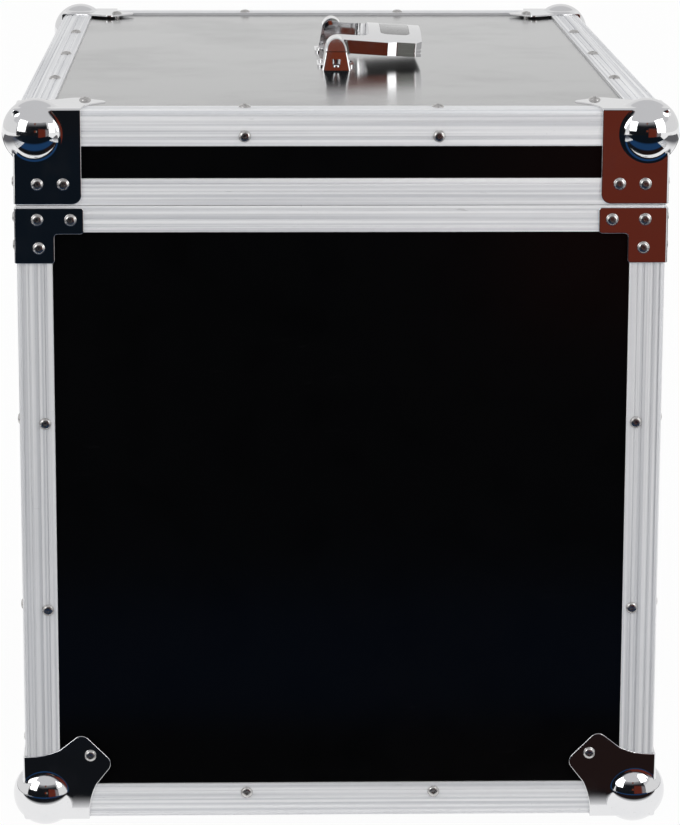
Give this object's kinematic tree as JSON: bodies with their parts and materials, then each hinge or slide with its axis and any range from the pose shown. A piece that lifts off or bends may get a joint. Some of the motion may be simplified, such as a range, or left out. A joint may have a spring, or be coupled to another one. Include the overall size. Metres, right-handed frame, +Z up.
{
  "type": "flight case",
  "caption": "Deep black-panelled flight case with a shallow hinged lid, aluminium edging, ball corners, a folding handle and recessed turn latches.",
  "frame": {"origin": "on the floor under the middle of the case, at the foot of its four ball corners", "axes": "+X to the right, towards the latches; +Y back along the case's depth; +Z up"},
  "size_m": [0.417, 0.637, 0.4817],
  "materials": {
    "laminate": "plywood faced with smooth black laminate",
    "edging": "extruded, satin, grooved",
    "corner_plate": "pressed steel, bright chrome",
    "rivet": "plated blind rivets",
    "zinc_plate": "bright zinc plate",
    "handle_chrome": "cast zinc, bright chrome",
    "latch_chrome": "bright chrome",
    "grip_insert": "smooth black soft plastic",
    "foam": "open-cell polyurethane foam, charcoal"
  },
  "bodies": {
    "case": {"base_panel": "laminate", "front_panel": "laminate", "back_panel": "laminate", "left_panel": "laminate", "right_panel": "laminate", "bottom_rail_front": "edging", "bottom_rail_back": "edging", "bottom_rail_left": "edging", "bottom_rail_right": "edging", "corner_posts": "edging", "body_closing_frame": "edging", "ball_corner_front_left": "corner_plate", "ball_corner_front_right": "corner_plate", "ball_corner_back_left": "corner_plate", "ball_corner_back_right": "corner_plate", "corner_brace_front_left": "corner_plate", "corner_brace_front_right": "corner_plate", "corner_brace_back_left": "corner_plate", "corner_brace_back_right": "corner_plate", "floor_foam": "foam", "wall_foam": "foam", "body_edge_rivets": "rivet", "body_corner_rivets": "rivet", "hinge_body_leaves": "zinc_plate", "hinge_pins": "zinc_plate", "latch_dish_front": "zinc_plate", "latch_dish_back": "zinc_plate"},
    "lid": {"lid_panel": "laminate", "lid_side_panels": "laminate", "lid_rail_front": "edging", "lid_rail_back": "edging", "lid_rail_left": "edging", "lid_rail_right": "edging", "lid_closing_frame": "edging", "lid_corner_posts": "edging", "lid_ball_corner_front_left": "corner_plate", "lid_ball_corner_front_right": "corner_plate", "lid_ball_corner_back_left": "corner_plate", "lid_ball_corner_back_right": "corner_plate", "lid_foam": "foam", "lid_edge_rivets": "rivet", "lid_corner_rivets": "rivet", "hinge_lid_leaves": "zinc_plate", "keeper_dish_front": "zinc_plate", "keeper_dish_back": "zinc_plate", "keeper_studs": "latch_chrome", "handle_bracket_front": "handle_chrome", "handle_bracket_back": "handle_chrome", "handle_screws": "handle_chrome", "handle_pivot_pins": "handle_chrome"},
    "grip": {"grip": "handle_chrome", "grip_insert": "grip_insert"},
    "latch_front": {"turn_plate_front": "latch_chrome", "latch_claw_front": "latch_chrome"},
    "wing_up_front": {"wing_upper_front": "latch_chrome"},
    "wing_low_front": {"wing_lower_front": "latch_chrome"},
    "latch_back": {"turn_plate_back": "latch_chrome", "latch_claw_back": "latch_chrome"},
    "wing_up_back": {"wing_upper_back": "latch_chrome"},
    "wing_low_back": {"wing_lower_back": "latch_chrome"}
  },
  "joints": [
    {"name": "lid_hinge", "type": "hinge", "parent": "case", "child": "lid", "pos_m": [-0.2035, 0, 0.4013], "axis": [0, -1, 0], "range_deg": [0, 105]},
    {"name": "handle_pivot", "type": "hinge", "parent": "lid", "child": "grip", "pos_m": [0.0022, -0.007, 0.4711], "axis": [0, -1, 0], "range_deg": [0, 180]},
    {"name": "latch_turn_front", "type": "hinge", "parent": "case", "child": "latch_front", "pos_m": [0.2, -0.17, 0.3773], "axis": [-1, 0, 0], "range_deg": [0, 90]},
    {"name": "upper_wing_front", "type": "hinge", "parent": "latch_front", "child": "wing_up_front", "pos_m": [0.1957, -0.17, 0.3797], "axis": [0, 1, 0], "range_deg": [0, 90]},
    {"name": "lower_wing_front", "type": "hinge", "parent": "latch_front", "child": "wing_low_front", "pos_m": [0.1957, -0.17, 0.3749], "axis": [0, -1, 0], "range_deg": [0, 90]},
    {"name": "latch_turn_back", "type": "hinge", "parent": "case", "child": "latch_back", "pos_m": [0.2, 0.17, 0.3773], "axis": [-1, 0, 0], "range_deg": [0, 90]},
    {"name": "upper_wing_back", "type": "hinge", "parent": "latch_back", "child": "wing_up_back", "pos_m": [0.1957, 0.17, 0.3797], "axis": [0, 1, 0], "range_deg": [0, 90]},
    {"name": "lower_wing_back", "type": "hinge", "parent": "latch_back", "child": "wing_low_back", "pos_m": [0.1957, 0.17, 0.3749], "axis": [0, -1, 0], "range_deg": [0, 90]}
  ]
}
